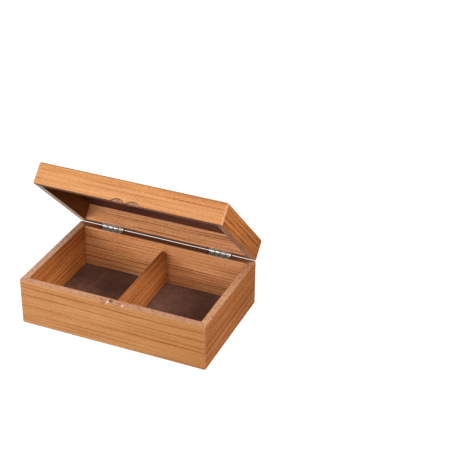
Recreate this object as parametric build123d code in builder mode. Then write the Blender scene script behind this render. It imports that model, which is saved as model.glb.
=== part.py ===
from build123d import *
import os

os.makedirs("parts", exist_ok=True)

# Wooden piece box with a hinged lid, veneered all round, with two lined
# compartments. Millimetres. +X to the right, +Y to the back, +Z up.
# Origin: centre of the underside of the base, on the surface it stands on.

# ---------------------------------------------------------------- dimensions
box_width = 240.0        # outside, left to right
box_depth = 152.4        # outside, front to back
base_height = 60.0       # floor to rim of the base
lid_height = 26.55       # rim to top of the lid
seam_gap = 0.25          # daylight between the two rims when closed
open_angle = 45.1        # how far the lid stands open at rest

skin = 0.6               # veneer
core = 7.7               # wall core between the two veneers
edge_break = 1.4         # chamfer on upright corners and lid top edges
foot_break = 0.8         # chamfer round the foot of the base
rim_break = 0.2          # chamfer on the outer edge of both rims

bottom_thickness = 3.2   # base bottom panel, let into a rabbet
bottom_rabbet = 3.5
top_thickness = 4.4      # lid top panel, laid over the lid walls
liner_thickness = 0.6

divider_thickness = 6.0  # with its two veneers
divider_top = 48.6
divider_dado = 1.4       # how far its ends enter the front and back cores
divider_round = 1.0

scoop_radius = 12.25     # two ball-shaped finger scoops in each front rim
scoop_spacing = 19.6
scoop_ahead = 4.55       # ball centre in front of the face
scoop_beyond = 7.7       # ball centre beyond the rim plane

disc_radius = 3.0        # catch magnet and its strike disc
disc_ahead = 71.8
magnet_depth = 3.0
strike_depth = 2.0

hinge_offset = 73.5      # hinge centre from the middle of the box
hinge_length = 29.0
knuckle_count = 4
knuckle_radius = 1.9
knuckle_gap = 0.1        # per end
pin_radius = 0.9
pin_clearance = 0.05     # radial, in the lid's knuckles only
pin_behind = 0.25        # pin axis behind the back face
knuckle_room = 0.3       # clearance round the knuckles, in the wood
pin_overhang = 0.3
leaf_thickness = 1.1
leaf_setback = 0.3       # leaf edge back from the inner face
leaf_relief = 0.35       # leaf edge in front of the other leaf's knuckles
mortise_left = 1.1       # slack of the mortise past each end of the leaf
mortise_right = 0.4
screw_spacing = 18.0
screw_y = 70.9
screw_head = 1.75
screw_shank = 0.9
screw_length = 8.4

# ------------------------------------------------------------ derived values
half_w = box_width / 2
half_d = box_depth / 2
core_out_w = half_w - skin
core_out_d = half_d - skin
core_in_w = core_out_w - core
core_in_d = core_out_d - core
inside_w = core_in_w - skin
inside_d = core_in_d - skin

lid_rim = base_height + seam_gap
lid_top = lid_rim + lid_height
lid_panel_z = lid_top - skin - top_thickness
liner_top = bottom_thickness + liner_thickness

pin_y = half_d + pin_behind
pin_z = base_height + seam_gap / 2
knuckle_pitch = hinge_length / knuckle_count
knuckle_length = knuckle_pitch - 2 * knuckle_gap
leaf_front = inside_d + leaf_setback
leaf_back = pin_y - knuckle_radius - leaf_relief

# The lid is drawn where it would lie when closed and is swung up about the
# pin as it is placed: every lid sketch sits on a plane of the swung lid.
lid_swing = (
    Location((0, pin_y, pin_z))
    * Location((0, 0, 0), (-open_angle, 0, 0))
    * Location((0, -pin_y, -pin_z))
)
lid_xy = Plane(lid_swing)
lid_yz = lid_swing * Plane.YZ.location
lid_up = Axis(lid_xy.origin, lid_xy.z_dir)

front_mitre = [
    (-core_out_w, -core_out_d), (core_out_w, -core_out_d),
    (core_in_w, -core_in_d), (-core_in_w, -core_in_d),
]
back_mitre = [
    (core_out_w, core_out_d), (-core_out_w, core_out_d),
    (-core_in_w, core_in_d), (core_in_w, core_in_d),
]
left_mitre = [
    (-core_out_w, core_out_d), (-core_out_w, -core_out_d),
    (-core_in_w, -core_in_d), (-core_in_w, core_in_d),
]
right_mitre = [
    (core_out_w, -core_out_d), (core_out_w, core_out_d),
    (core_in_w, core_in_d), (core_in_w, -core_in_d),
]

# ------------------------------------------------- outer envelopes and tools
# The outside of the base with its eased upright corners and foot.
with BuildPart() as base_envelope:
    with BuildSketch(Plane.XY):
        Rectangle(box_width, box_depth)
    extrude(amount=base_height)
    chamfer(edges().filter_by(Axis.Z), length=edge_break)
    chamfer(faces().sort_by(Axis.Z)[0].edges(), length=foot_break)
    chamfer(faces().sort_by(Axis.Z)[-1].edges(), length=rim_break)

# The outside of the lid with its eased upright corners and top.
with BuildPart() as lid_envelope:
    with BuildSketch(lid_xy.offset(lid_rim)):
        Rectangle(box_width, box_depth)
    extrude(amount=lid_height)
    chamfer(edges().filter_by(lid_up), length=edge_break)
    chamfer(faces().sort_by(lid_up)[-1].edges(), length=edge_break)
    chamfer(faces().sort_by(lid_up)[0].edges(), length=rim_break)

# The divider's outline, with its two long top edges rounded.
with BuildPart() as divider_envelope:
    with BuildSketch(Plane.XY.offset(bottom_thickness)):
        Rectangle(divider_thickness, 2 * (core_in_d + divider_dado))
    extrude(amount=divider_top - bottom_thickness)
    fillet(
        faces().sort_by(Axis.Z)[-1].edges().filter_by(Axis.Y),
        radius=divider_round,
    )

# Ball cutters for the finger scoops, two below the seam and two above it.
with BuildPart() as base_scoops:
    with Locations(
        (-scoop_spacing / 2, -half_d - scoop_ahead, base_height + scoop_beyond),
        (scoop_spacing / 2, -half_d - scoop_ahead, base_height + scoop_beyond),
    ):
        Sphere(scoop_radius)

with BuildPart() as lid_scoops:
    with Locations(
        lid_swing * Location((-scoop_spacing / 2, -half_d - scoop_ahead, lid_rim - scoop_beyond)),
        lid_swing * Location((scoop_spacing / 2, -half_d - scoop_ahead, lid_rim - scoop_beyond)),
    ):
        Sphere(scoop_radius)

# The shallow mortises that take the hinge leaves, and the hollows behind them
# in which the knuckles turn.
with BuildPart() as base_mortises:
    for side in (-1, 1):
        with BuildSketch(Plane.XY.offset(base_height - leaf_thickness)):
            with Locations(
                (side * hinge_offset + (mortise_right - mortise_left) / 2, (inside_d + half_d) / 2)
            ):
                Rectangle(hinge_length + mortise_left + mortise_right, half_d - inside_d + 2)
        extrude(amount=leaf_thickness + 1)
        with BuildSketch(Plane.YZ.offset(side * hinge_offset - hinge_length / 2 - mortise_left)):
            with Locations((pin_y, pin_z)):
                Circle(knuckle_radius + knuckle_room)
        extrude(amount=hinge_length + mortise_left + mortise_right)

with BuildPart() as lid_mortises:
    for side in (-1, 1):
        with BuildSketch(lid_xy.offset(lid_rim - 1)):
            with Locations(
                (side * hinge_offset + (mortise_right - mortise_left) / 2, (inside_d + half_d) / 2)
            ):
                Rectangle(hinge_length + mortise_left + mortise_right, half_d - inside_d + 2)
        extrude(amount=leaf_thickness + 1)
        with BuildSketch(
            Plane(lid_yz).offset(side * hinge_offset - hinge_length / 2 - mortise_left)
        ):
            with Locations((pin_y, pin_z)):
                Circle(knuckle_radius + knuckle_room)
        extrude(amount=hinge_length + mortise_left + mortise_right)

# Whole screws without their drive recess, also used to cut their own holes.
screw_profile = [
    (0, 0), (screw_head, 0), (screw_shank, screw_shank - screw_head),
    (screw_shank, 1.4 - screw_length), (0, -screw_length),
]
screw_places = [
    (side * hinge_offset + hand * screw_spacing / 2, side * 17 + hand * 31)
    for side in (-1, 1)
    for hand in (-1, 1)
]

with BuildPart() as base_screw_blanks:
    for place_x, _ in screw_places:
        with BuildSketch(
            Plane(origin=(place_x, screw_y, base_height), x_dir=(1, 0, 0), z_dir=(0, -1, 0))
        ):
            with BuildLine():
                Polyline(*screw_profile, close=True)
            make_face()
        revolve(axis=Axis((place_x, screw_y, base_height), (0, 0, 1)))

with BuildPart() as lid_screw_blanks:
    for place_x, _ in screw_places:
        head = Plane(
            lid_swing
            * Plane(origin=(place_x, screw_y, lid_rim), x_dir=(1, 0, 0), z_dir=(0, 1, 0)).location
        )
        with BuildSketch(head):
            with BuildLine():
                Polyline(*screw_profile, close=True)
            make_face()
        revolve(axis=Axis(head.origin, lid_xy.z_dir))

# ================================================================ base walls
# Four mitred cores stand on the floor. Each has a rabbet for the bottom panel.
with BuildPart() as base_front_wall:
    with BuildSketch(Plane.XY):
        with BuildLine():
            Polyline(*front_mitre, close=True)
        make_face()
    extrude(amount=base_height)
    with BuildSketch(Plane.XY):
        with Locations((0, -core_in_d)):
            Rectangle(box_width, 2 * bottom_rabbet)
    extrude(amount=bottom_thickness, mode=Mode.SUBTRACT)
    with BuildSketch(Plane.XY.offset(bottom_thickness)):
        with Locations((0, -core_in_d)):
            Rectangle(divider_thickness, 2 * divider_dado)
    extrude(amount=divider_top - bottom_thickness, mode=Mode.SUBTRACT)
    add(base_scoops.part, mode=Mode.SUBTRACT)
    with Locations((0, -disc_ahead, base_height)):
        Hole(disc_radius, depth=magnet_depth)
    add(base_envelope.part, mode=Mode.INTERSECT)

with BuildPart() as base_back_wall:
    with BuildSketch(Plane.XY):
        with BuildLine():
            Polyline(*back_mitre, close=True)
        make_face()
    extrude(amount=base_height)
    with BuildSketch(Plane.XY):
        with Locations((0, core_in_d)):
            Rectangle(box_width, 2 * bottom_rabbet)
    extrude(amount=bottom_thickness, mode=Mode.SUBTRACT)
    with BuildSketch(Plane.XY.offset(bottom_thickness)):
        with Locations((0, core_in_d)):
            Rectangle(divider_thickness, 2 * divider_dado)
    extrude(amount=divider_top - bottom_thickness, mode=Mode.SUBTRACT)
    add(base_mortises.part, mode=Mode.SUBTRACT)
    add(base_screw_blanks.part, mode=Mode.SUBTRACT)
    add(base_envelope.part, mode=Mode.INTERSECT)

with BuildPart() as base_left_wall:
    with BuildSketch(Plane.XY):
        with BuildLine():
            Polyline(*left_mitre, close=True)
        make_face()
    extrude(amount=base_height)
    with BuildSketch(Plane.XY):
        with Locations((-core_in_w, 0)):
            Rectangle(2 * bottom_rabbet, box_depth)
    extrude(amount=bottom_thickness, mode=Mode.SUBTRACT)
    add(base_envelope.part, mode=Mode.INTERSECT)

with BuildPart() as base_right_wall:
    with BuildSketch(Plane.XY):
        with BuildLine():
            Polyline(*right_mitre, close=True)
        make_face()
    extrude(amount=base_height)
    with BuildSketch(Plane.XY):
        with Locations((core_in_w, 0)):
            Rectangle(2 * bottom_rabbet, box_depth)
    extrude(amount=bottom_thickness, mode=Mode.SUBTRACT)
    add(base_envelope.part, mode=Mode.INTERSECT)

# ------------------------------------------------------- base outside veneers
with BuildPart() as base_front_veneer:
    with BuildSketch(Plane.XY):
        with Locations((0, -half_d + skin / 2)):
            Rectangle(box_width, skin)
    extrude(amount=base_height)
    add(base_scoops.part, mode=Mode.SUBTRACT)
    add(base_envelope.part, mode=Mode.INTERSECT)

with BuildPart() as base_back_veneer:
    with BuildSketch(Plane.XY):
        with Locations((0, half_d - skin / 2)):
            Rectangle(box_width, skin)
    extrude(amount=base_height)
    add(base_mortises.part, mode=Mode.SUBTRACT)
    add(base_envelope.part, mode=Mode.INTERSECT)

with BuildPart() as base_left_veneer:
    with BuildSketch(Plane.XY):
        with Locations((-half_w + skin / 2, 0)):
            Rectangle(skin, 2 * core_out_d)
    extrude(amount=base_height)
    add(base_envelope.part, mode=Mode.INTERSECT)

with BuildPart() as base_right_veneer:
    with BuildSketch(Plane.XY):
        with Locations((half_w - skin / 2, 0)):
            Rectangle(skin, 2 * core_out_d)
    extrude(amount=base_height)
    add(base_envelope.part, mode=Mode.INTERSECT)

# -------------------------------------------------------- base inside veneers
with BuildPart() as base_front_lining:
    with BuildSketch(Plane.XY.offset(bottom_thickness)):
        with Locations((0, -core_in_d + skin / 2)):
            Rectangle(2 * core_in_w, skin)
    extrude(amount=base_height - bottom_thickness)
    with BuildSketch(Plane.XY.offset(bottom_thickness)):
        with Locations((0, -core_in_d)):
            Rectangle(divider_thickness, 4 * skin)
    extrude(amount=divider_top - bottom_thickness, mode=Mode.SUBTRACT)

with BuildPart() as base_back_lining:
    with BuildSketch(Plane.XY.offset(bottom_thickness)):
        with Locations((0, core_in_d - skin / 2)):
            Rectangle(2 * core_in_w, skin)
    extrude(amount=base_height - bottom_thickness)
    with BuildSketch(Plane.XY.offset(bottom_thickness)):
        with Locations((0, core_in_d)):
            Rectangle(divider_thickness, 4 * skin)
    extrude(amount=divider_top - bottom_thickness, mode=Mode.SUBTRACT)
    add(base_mortises.part, mode=Mode.SUBTRACT)

with BuildPart() as base_left_lining:
    with BuildSketch(Plane.XY.offset(bottom_thickness)):
        with Locations((-core_in_w + skin / 2, 0)):
            Rectangle(skin, 2 * inside_d)
    extrude(amount=base_height - bottom_thickness)

with BuildPart() as base_right_lining:
    with BuildSketch(Plane.XY.offset(bottom_thickness)):
        with Locations((core_in_w - skin / 2, 0)):
            Rectangle(skin, 2 * inside_d)
    extrude(amount=base_height - bottom_thickness)

# ----------------------------------------------- bottom panel, divider, liners
with BuildPart() as base_bottom_panel:
    with BuildSketch(Plane.XY):
        Rectangle(2 * (core_in_w + bottom_rabbet), 2 * (core_in_d + bottom_rabbet))
    extrude(amount=bottom_thickness)

with BuildPart() as divider_core:
    with BuildSketch(Plane.XY.offset(bottom_thickness)):
        Rectangle(divider_thickness - 2 * skin, 2 * (core_in_d + divider_dado))
    extrude(amount=divider_top - bottom_thickness)
    add(divider_envelope.part, mode=Mode.INTERSECT)

with BuildPart() as divider_left_veneer:
    with BuildSketch(Plane.XY.offset(bottom_thickness)):
        with Locations((-divider_thickness / 2 + skin / 2, 0)):
            Rectangle(skin, 2 * (core_in_d + divider_dado))
    extrude(amount=divider_top - bottom_thickness)
    add(divider_envelope.part, mode=Mode.INTERSECT)

with BuildPart() as divider_right_veneer:
    with BuildSketch(Plane.XY.offset(bottom_thickness)):
        with Locations((divider_thickness / 2 - skin / 2, 0)):
            Rectangle(skin, 2 * (core_in_d + divider_dado))
    extrude(amount=divider_top - bottom_thickness)
    add(divider_envelope.part, mode=Mode.INTERSECT)

liner_width = inside_w - divider_thickness / 2

with BuildPart() as left_liner:
    with BuildSketch(Plane.XY.offset(bottom_thickness)):
        with Locations((-divider_thickness / 2 - liner_width / 2, 0)):
            Rectangle(liner_width, 2 * inside_d)
    extrude(amount=liner_thickness)

with BuildPart() as right_liner:
    with BuildSketch(Plane.XY.offset(bottom_thickness)):
        with Locations((divider_thickness / 2 + liner_width / 2, 0)):
            Rectangle(liner_width, 2 * inside_d)
    extrude(amount=liner_thickness)

# The catch magnet, flush in the middle of the front rim.
with BuildPart() as catch_magnet:
    with BuildSketch(Plane.XY.offset(base_height - magnet_depth)):
        with Locations((0, -disc_ahead)):
            Circle(disc_radius)
    extrude(amount=magnet_depth)

# ================================================================= lid walls
with BuildPart() as lid_front_wall:
    with BuildSketch(lid_xy.offset(lid_rim)):
        with BuildLine():
            Polyline(*front_mitre, close=True)
        make_face()
    extrude(amount=lid_panel_z - lid_rim)
    add(lid_scoops.part, mode=Mode.SUBTRACT)
    with BuildSketch(lid_xy.offset(lid_rim)):
        with Locations((0, -disc_ahead)):
            Circle(disc_radius)
    extrude(amount=strike_depth, mode=Mode.SUBTRACT)
    add(lid_envelope.part, mode=Mode.INTERSECT)

with BuildPart() as lid_back_wall:
    with BuildSketch(lid_xy.offset(lid_rim)):
        with BuildLine():
            Polyline(*back_mitre, close=True)
        make_face()
    extrude(amount=lid_panel_z - lid_rim)
    add(lid_mortises.part, mode=Mode.SUBTRACT)
    add(lid_screw_blanks.part, mode=Mode.SUBTRACT)
    add(lid_envelope.part, mode=Mode.INTERSECT)

with BuildPart() as lid_left_wall:
    with BuildSketch(lid_xy.offset(lid_rim)):
        with BuildLine():
            Polyline(*left_mitre, close=True)
        make_face()
    extrude(amount=lid_panel_z - lid_rim)
    add(lid_envelope.part, mode=Mode.INTERSECT)

with BuildPart() as lid_right_wall:
    with BuildSketch(lid_xy.offset(lid_rim)):
        with BuildLine():
            Polyline(*right_mitre, close=True)
        make_face()
    extrude(amount=lid_panel_z - lid_rim)
    add(lid_envelope.part, mode=Mode.INTERSECT)

# -------------------------------------------------------- lid outside veneers
with BuildPart() as lid_front_veneer:
    with BuildSketch(lid_xy.offset(lid_rim)):
        with Locations((0, -half_d + skin / 2)):
            Rectangle(box_width, skin)
    extrude(amount=lid_height - skin)
    add(lid_scoops.part, mode=Mode.SUBTRACT)
    add(lid_envelope.part, mode=Mode.INTERSECT)

with BuildPart() as lid_back_veneer:
    with BuildSketch(lid_xy.offset(lid_rim)):
        with Locations((0, half_d - skin / 2)):
            Rectangle(box_width, skin)
    extrude(amount=lid_height - skin)
    add(lid_mortises.part, mode=Mode.SUBTRACT)
    add(lid_envelope.part, mode=Mode.INTERSECT)

with BuildPart() as lid_left_veneer:
    with BuildSketch(lid_xy.offset(lid_rim)):
        with Locations((-half_w + skin / 2, 0)):
            Rectangle(skin, 2 * core_out_d)
    extrude(amount=lid_height - skin)
    add(lid_envelope.part, mode=Mode.INTERSECT)

with BuildPart() as lid_right_veneer:
    with BuildSketch(lid_xy.offset(lid_rim)):
        with Locations((half_w - skin / 2, 0)):
            Rectangle(skin, 2 * core_out_d)
    extrude(amount=lid_height - skin)
    add(lid_envelope.part, mode=Mode.INTERSECT)

# --------------------------------------------------------- lid inside veneers
with BuildPart() as lid_front_lining:
    with BuildSketch(lid_xy.offset(lid_rim)):
        with Locations((0, -core_in_d + skin / 2)):
            Rectangle(2 * core_in_w, skin)
    extrude(amount=lid_panel_z - lid_rim)

with BuildPart() as lid_back_lining:
    with BuildSketch(lid_xy.offset(lid_rim)):
        with Locations((0, core_in_d - skin / 2)):
            Rectangle(2 * core_in_w, skin)
    extrude(amount=lid_panel_z - lid_rim)
    add(lid_mortises.part, mode=Mode.SUBTRACT)

with BuildPart() as lid_left_lining:
    with BuildSketch(lid_xy.offset(lid_rim)):
        with Locations((-core_in_w + skin / 2, 0)):
            Rectangle(skin, 2 * inside_d)
    extrude(amount=lid_panel_z - lid_rim)

with BuildPart() as lid_right_lining:
    with BuildSketch(lid_xy.offset(lid_rim)):
        with Locations((core_in_w - skin / 2, 0)):
            Rectangle(skin, 2 * inside_d)
    extrude(amount=lid_panel_z - lid_rim)

# ------------------------------------------------ lid top, its veneer and liner
with BuildPart() as lid_top_panel:
    with BuildSketch(lid_xy.offset(lid_panel_z)):
        Rectangle(2 * core_out_w, 2 * core_out_d)
    extrude(amount=top_thickness)
    add(lid_envelope.part, mode=Mode.INTERSECT)

with BuildPart() as lid_top_veneer:
    with BuildSketch(lid_xy.offset(lid_top - skin)):
        Rectangle(box_width, box_depth)
    extrude(amount=skin)
    add(lid_envelope.part, mode=Mode.INTERSECT)

with BuildPart() as lid_liner:
    with BuildSketch(lid_xy.offset(lid_panel_z - liner_thickness)):
        Rectangle(2 * inside_w, 2 * inside_d)
    extrude(amount=liner_thickness)

# The steel disc that the magnet draws down, flush in the lid's front rim.
with BuildPart() as catch_strike_disc:
    with BuildSketch(lid_xy.offset(lid_rim)):
        with Locations((0, -disc_ahead)):
            Circle(disc_radius)
    extrude(amount=strike_depth)

# ==================================================================== hinges
# Each hinge has a base leaf with the first and third knuckles, a lid leaf
# with the second and fourth, and one pin. The pin is tight in the base leaf
# and runs in the lid leaf. Sections are drawn across the box and pushed out
# along the pin.
plate = [
    (leaf_front, -leaf_thickness), (leaf_back, -leaf_thickness),
    (leaf_back, 0), (leaf_front, 0),
]
neck = [(leaf_back, -leaf_thickness), (pin_y, -leaf_thickness), (pin_y, 0), (leaf_back, 0)]

with BuildPart() as left_hinge_base_leaf:
    with BuildSketch(Plane.YZ.offset(-hinge_offset - hinge_length / 2)):
        with BuildLine():
            Polyline(*[(y, base_height + z) for y, z in plate], close=True)
        make_face()
    extrude(amount=hinge_length)
    for k in (0, 2):
        with BuildSketch(
            Plane.YZ.offset(-hinge_offset - hinge_length / 2 + k * knuckle_pitch + knuckle_gap)
        ):
            with BuildLine():
                Polyline(*[(y, base_height + z) for y, z in neck], close=True)
            make_face()
            with Locations((pin_y, pin_z)):
                Circle(knuckle_radius)
                Circle(pin_radius, mode=Mode.SUBTRACT)
        extrude(amount=knuckle_length)
    add(base_screw_blanks.part, mode=Mode.SUBTRACT)

with BuildPart() as right_hinge_base_leaf:
    with BuildSketch(Plane.YZ.offset(hinge_offset - hinge_length / 2)):
        with BuildLine():
            Polyline(*[(y, base_height + z) for y, z in plate], close=True)
        make_face()
    extrude(amount=hinge_length)
    for k in (0, 2):
        with BuildSketch(
            Plane.YZ.offset(hinge_offset - hinge_length / 2 + k * knuckle_pitch + knuckle_gap)
        ):
            with BuildLine():
                Polyline(*[(y, base_height + z) for y, z in neck], close=True)
            make_face()
            with Locations((pin_y, pin_z)):
                Circle(knuckle_radius)
                Circle(pin_radius, mode=Mode.SUBTRACT)
        extrude(amount=knuckle_length)
    add(base_screw_blanks.part, mode=Mode.SUBTRACT)

with BuildPart() as left_hinge_lid_leaf:
    with BuildSketch(Plane(lid_yz).offset(-hinge_offset - hinge_length / 2)):
        with BuildLine():
            Polyline(*[(y, lid_rim - z) for y, z in plate], close=True)
        make_face()
    extrude(amount=hinge_length)
    for k in (1, 3):
        with BuildSketch(
            Plane(lid_yz).offset(-hinge_offset - hinge_length / 2 + k * knuckle_pitch + knuckle_gap)
        ):
            with BuildLine():
                Polyline(*[(y, lid_rim - z) for y, z in neck], close=True)
            make_face()
            with Locations((pin_y, pin_z)):
                Circle(knuckle_radius)
                Circle(pin_radius + pin_clearance, mode=Mode.SUBTRACT)
        extrude(amount=knuckle_length)
    add(lid_screw_blanks.part, mode=Mode.SUBTRACT)

with BuildPart() as right_hinge_lid_leaf:
    with BuildSketch(Plane(lid_yz).offset(hinge_offset - hinge_length / 2)):
        with BuildLine():
            Polyline(*[(y, lid_rim - z) for y, z in plate], close=True)
        make_face()
    extrude(amount=hinge_length)
    for k in (1, 3):
        with BuildSketch(
            Plane(lid_yz).offset(hinge_offset - hinge_length / 2 + k * knuckle_pitch + knuckle_gap)
        ):
            with BuildLine():
                Polyline(*[(y, lid_rim - z) for y, z in neck], close=True)
            make_face()
            with Locations((pin_y, pin_z)):
                Circle(knuckle_radius)
                Circle(pin_radius + pin_clearance, mode=Mode.SUBTRACT)
        extrude(amount=knuckle_length)
    add(lid_screw_blanks.part, mode=Mode.SUBTRACT)

with BuildPart() as left_hinge_pin:
    with BuildSketch(Plane.YZ.offset(-hinge_offset - hinge_length / 2 - pin_overhang)):
        with Locations((pin_y, pin_z)):
            Circle(pin_radius)
    extrude(amount=hinge_length + 2 * pin_overhang)
    chamfer(edges().filter_by(GeomType.CIRCLE), length=0.25)

with BuildPart() as right_hinge_pin:
    with BuildSketch(Plane.YZ.offset(hinge_offset - hinge_length / 2 - pin_overhang)):
        with Locations((pin_y, pin_z)):
            Circle(pin_radius)
    extrude(amount=hinge_length + 2 * pin_overhang)
    chamfer(edges().filter_by(GeomType.CIRCLE), length=0.25)

# Countersunk cross-recessed screws, two to a leaf.
with BuildPart() as base_hinge_screws:
    add(base_screw_blanks.part)
    with Locations(
        *[Location((x, screw_y, base_height), (0, 0, turn)) for x, turn in screw_places]
    ):
        Box(2.1, 0.45, 0.55, align=(Align.CENTER, Align.CENTER, Align.MAX), mode=Mode.SUBTRACT)
        Box(0.45, 2.1, 0.55, align=(Align.CENTER, Align.CENTER, Align.MAX), mode=Mode.SUBTRACT)

with BuildPart() as lid_hinge_screws:
    add(lid_screw_blanks.part)
    with Locations(
        *[lid_swing * Location((x, screw_y, lid_rim), (0, 0, turn)) for x, turn in screw_places]
    ):
        Box(2.1, 0.45, 0.55, align=(Align.CENTER, Align.CENTER, Align.MIN), mode=Mode.SUBTRACT)
        Box(0.45, 2.1, 0.55, align=(Align.CENTER, Align.CENTER, Align.MIN), mode=Mode.SUBTRACT)

# ============================================================= write the nodes
base_front_wall.part.label = "base_front_wall"
export_step(base_front_wall.part, "parts/base_front_wall.step")
base_back_wall.part.label = "base_back_wall"
export_step(base_back_wall.part, "parts/base_back_wall.step")
base_left_wall.part.label = "base_left_wall"
export_step(base_left_wall.part, "parts/base_left_wall.step")
base_right_wall.part.label = "base_right_wall"
export_step(base_right_wall.part, "parts/base_right_wall.step")
base_front_veneer.part.label = "base_front_veneer"
export_step(base_front_veneer.part, "parts/base_front_veneer.step")
base_back_veneer.part.label = "base_back_veneer"
export_step(base_back_veneer.part, "parts/base_back_veneer.step")
base_left_veneer.part.label = "base_left_veneer"
export_step(base_left_veneer.part, "parts/base_left_veneer.step")
base_right_veneer.part.label = "base_right_veneer"
export_step(base_right_veneer.part, "parts/base_right_veneer.step")
base_front_lining.part.label = "base_front_lining"
export_step(base_front_lining.part, "parts/base_front_lining.step")
base_back_lining.part.label = "base_back_lining"
export_step(base_back_lining.part, "parts/base_back_lining.step")
base_left_lining.part.label = "base_left_lining"
export_step(base_left_lining.part, "parts/base_left_lining.step")
base_right_lining.part.label = "base_right_lining"
export_step(base_right_lining.part, "parts/base_right_lining.step")
base_bottom_panel.part.label = "base_bottom_panel"
export_step(base_bottom_panel.part, "parts/base_bottom_panel.step")
divider_core.part.label = "divider_core"
export_step(divider_core.part, "parts/divider_core.step")
divider_left_veneer.part.label = "divider_left_veneer"
export_step(divider_left_veneer.part, "parts/divider_left_veneer.step")
divider_right_veneer.part.label = "divider_right_veneer"
export_step(divider_right_veneer.part, "parts/divider_right_veneer.step")
left_liner.part.label = "left_liner"
export_step(left_liner.part, "parts/left_liner.step")
right_liner.part.label = "right_liner"
export_step(right_liner.part, "parts/right_liner.step")
catch_magnet.part.label = "catch_magnet"
export_step(catch_magnet.part, "parts/catch_magnet.step")
lid_front_wall.part.label = "lid_front_wall"
export_step(lid_front_wall.part, "parts/lid_front_wall.step")
lid_back_wall.part.label = "lid_back_wall"
export_step(lid_back_wall.part, "parts/lid_back_wall.step")
lid_left_wall.part.label = "lid_left_wall"
export_step(lid_left_wall.part, "parts/lid_left_wall.step")
lid_right_wall.part.label = "lid_right_wall"
export_step(lid_right_wall.part, "parts/lid_right_wall.step")
lid_front_veneer.part.label = "lid_front_veneer"
export_step(lid_front_veneer.part, "parts/lid_front_veneer.step")
lid_back_veneer.part.label = "lid_back_veneer"
export_step(lid_back_veneer.part, "parts/lid_back_veneer.step")
lid_left_veneer.part.label = "lid_left_veneer"
export_step(lid_left_veneer.part, "parts/lid_left_veneer.step")
lid_right_veneer.part.label = "lid_right_veneer"
export_step(lid_right_veneer.part, "parts/lid_right_veneer.step")
lid_front_lining.part.label = "lid_front_lining"
export_step(lid_front_lining.part, "parts/lid_front_lining.step")
lid_back_lining.part.label = "lid_back_lining"
export_step(lid_back_lining.part, "parts/lid_back_lining.step")
lid_left_lining.part.label = "lid_left_lining"
export_step(lid_left_lining.part, "parts/lid_left_lining.step")
lid_right_lining.part.label = "lid_right_lining"
export_step(lid_right_lining.part, "parts/lid_right_lining.step")
lid_top_panel.part.label = "lid_top_panel"
export_step(lid_top_panel.part, "parts/lid_top_panel.step")
lid_top_veneer.part.label = "lid_top_veneer"
export_step(lid_top_veneer.part, "parts/lid_top_veneer.step")
lid_liner.part.label = "lid_liner"
export_step(lid_liner.part, "parts/lid_liner.step")
catch_strike_disc.part.label = "catch_strike_disc"
export_step(catch_strike_disc.part, "parts/catch_strike_disc.step")
left_hinge_base_leaf.part.label = "left_hinge_base_leaf"
export_step(left_hinge_base_leaf.part, "parts/left_hinge_base_leaf.step")
right_hinge_base_leaf.part.label = "right_hinge_base_leaf"
export_step(right_hinge_base_leaf.part, "parts/right_hinge_base_leaf.step")
left_hinge_lid_leaf.part.label = "left_hinge_lid_leaf"
export_step(left_hinge_lid_leaf.part, "parts/left_hinge_lid_leaf.step")
right_hinge_lid_leaf.part.label = "right_hinge_lid_leaf"
export_step(right_hinge_lid_leaf.part, "parts/right_hinge_lid_leaf.step")
left_hinge_pin.part.label = "left_hinge_pin"
export_step(left_hinge_pin.part, "parts/left_hinge_pin.step")
right_hinge_pin.part.label = "right_hinge_pin"
export_step(right_hinge_pin.part, "parts/right_hinge_pin.step")
base_hinge_screws.part.label = "base_hinge_screws"
export_step(base_hinge_screws.part, "parts/base_hinge_screws.step")
lid_hinge_screws.part.label = "lid_hinge_screws"
export_step(lid_hinge_screws.part, "parts/lid_hinge_screws.step")

print("pin axis at", pin_y, pin_z, "lid top closed", lid_top)
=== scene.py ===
import math
import random

import bmesh
import bpy
from mathutils import Matrix, Vector, noise


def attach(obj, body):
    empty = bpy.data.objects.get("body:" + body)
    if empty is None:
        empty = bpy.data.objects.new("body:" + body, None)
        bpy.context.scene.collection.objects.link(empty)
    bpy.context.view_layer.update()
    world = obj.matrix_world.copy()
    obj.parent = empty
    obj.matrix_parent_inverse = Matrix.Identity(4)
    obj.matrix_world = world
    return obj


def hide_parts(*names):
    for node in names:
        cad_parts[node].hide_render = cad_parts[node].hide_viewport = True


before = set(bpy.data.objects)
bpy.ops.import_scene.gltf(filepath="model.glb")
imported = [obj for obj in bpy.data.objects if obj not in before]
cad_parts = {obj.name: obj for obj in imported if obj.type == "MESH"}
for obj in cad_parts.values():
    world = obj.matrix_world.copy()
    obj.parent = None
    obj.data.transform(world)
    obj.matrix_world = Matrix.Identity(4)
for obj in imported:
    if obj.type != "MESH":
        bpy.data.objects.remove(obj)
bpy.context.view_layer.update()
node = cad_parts

# ---------------------------------------------------------------------------
# Sizes the looks need, in millimetres, in the closed box's own coordinates:
# X left to right, Y front to back, Z up from the table.
# ---------------------------------------------------------------------------
HALF_W, HALF_D = 120.0, 76.2          # outer faces
BASE_TOP, LID_LOW, LID_TOP = 60.0, 60.25, 86.8
EDGE = 1.4                            # bevel on upright corners and lid top
INNER_W, INNER_D = 111.1, 67.3        # inner faces
SCOOP = (9.8, 7.7, 11.37)             # a scoop's centre: sideways and past the rim, and its radius on the face
OPEN = math.radians(45.1)             # the lid stands open by this
PIVOT = Vector((0.0, 0.07645, 0.060125)) # the hinge line, in metres


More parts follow.
